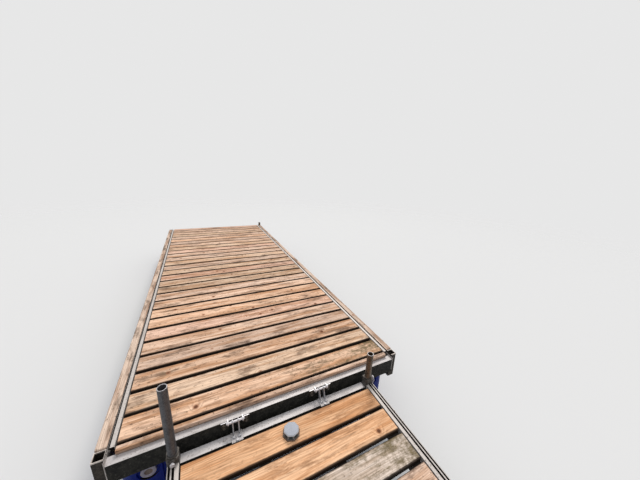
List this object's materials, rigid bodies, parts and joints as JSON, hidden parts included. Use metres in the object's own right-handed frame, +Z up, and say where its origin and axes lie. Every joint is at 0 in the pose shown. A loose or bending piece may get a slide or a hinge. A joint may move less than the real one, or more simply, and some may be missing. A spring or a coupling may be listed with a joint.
{
  "type": "floating jetty",
  "caption": "Floating platform with plank deck on moulded floats, hinged to a narrower plank walkway that stands on pipe legs.",
  "frame": {"origin": "on the bed or ground under the middle of the whole length and width", "axes": "+Y along the jetty from the walkway's shore end to the platform's outer end, +Z up, +X to the right seen from the shore"},
  "size_m": [1.8288, 7.688, 0.9134],
  "materials": {
    "mill_aluminium": "mill finish, dulled",
    "old_planks": "weathered softwood planks",
    "new_planks": "fresher softwood planks",
    "grey_plank": "greyed softwood plank",
    "bumper_timber": "weathered rough-sawn timber",
    "blue_float": "rotomoulded polyethylene",
    "white_plug": "moulded plug",
    "pocket_steel": "dark stained steel",
    "galvanised_steel": "weathered hot-dip galvanised",
    "rusty_pipe": "galvanised with rust",
    "cast_holder": "galvanised casting",
    "zinc_steel": "zinc plated",
    "light_housing": "moulded housing"
  },
  "bodies": {
    "platform": {"bumper_left": "bumper_timber", "bumper_right": "bumper_timber", "corner_pipe": "pocket_steel", "float_left_1": "blue_float", "float_left_2": "blue_float", "float_plugs": "white_plug", "float_right_1": "blue_float", "float_right_2": "blue_float", "hinge_lugs": "zinc_steel", "hinge_pins": "zinc_steel", "platform_beam_far": "mill_aluminium", "platform_beam_near": "mill_aluminium", "platform_bearers": "mill_aluminium", "platform_planks": "old_planks", "platform_rail_left": "mill_aluminium", "platform_rail_right": "mill_aluminium", "platform_ripped_plank": "old_planks", "platform_stringers": "mill_aluminium", "pocket_far_left": "pocket_steel", "pocket_far_right": "pocket_steel", "pocket_near_left": "pocket_steel", "pocket_near_right": "pocket_steel"},
    "walkway": {"deck_light": "light_housing", "hinge_ears": "zinc_steel", "pipe_holders": "cast_holder", "pipe_outer_left": "galvanised_steel", "pipe_outer_right": "rusty_pipe", "pipe_shore_left": "galvanised_steel", "pipe_shore_right": "galvanised_steel", "set_bolts": "zinc_steel", "shore_lugs": "zinc_steel", "walkway_beam_outer": "mill_aluminium", "walkway_beam_shore": "mill_aluminium", "walkway_bearers": "mill_aluminium", "walkway_plank_grey": "grey_plank", "walkway_planks_new": "new_planks", "walkway_planks_old": "old_planks", "walkway_rail_left": "mill_aluminium", "walkway_rail_right": "mill_aluminium", "walkway_stringers": "mill_aluminium"}
  },
  "joints": [
    {"name": "bay_hinge", "type": "hinge", "parent": "platform", "child": "walkway", "pos_m": [0, -0.754, 0.5094], "axis": [1, 0, 0], "range_deg": [-10, 8]}
  ]
}
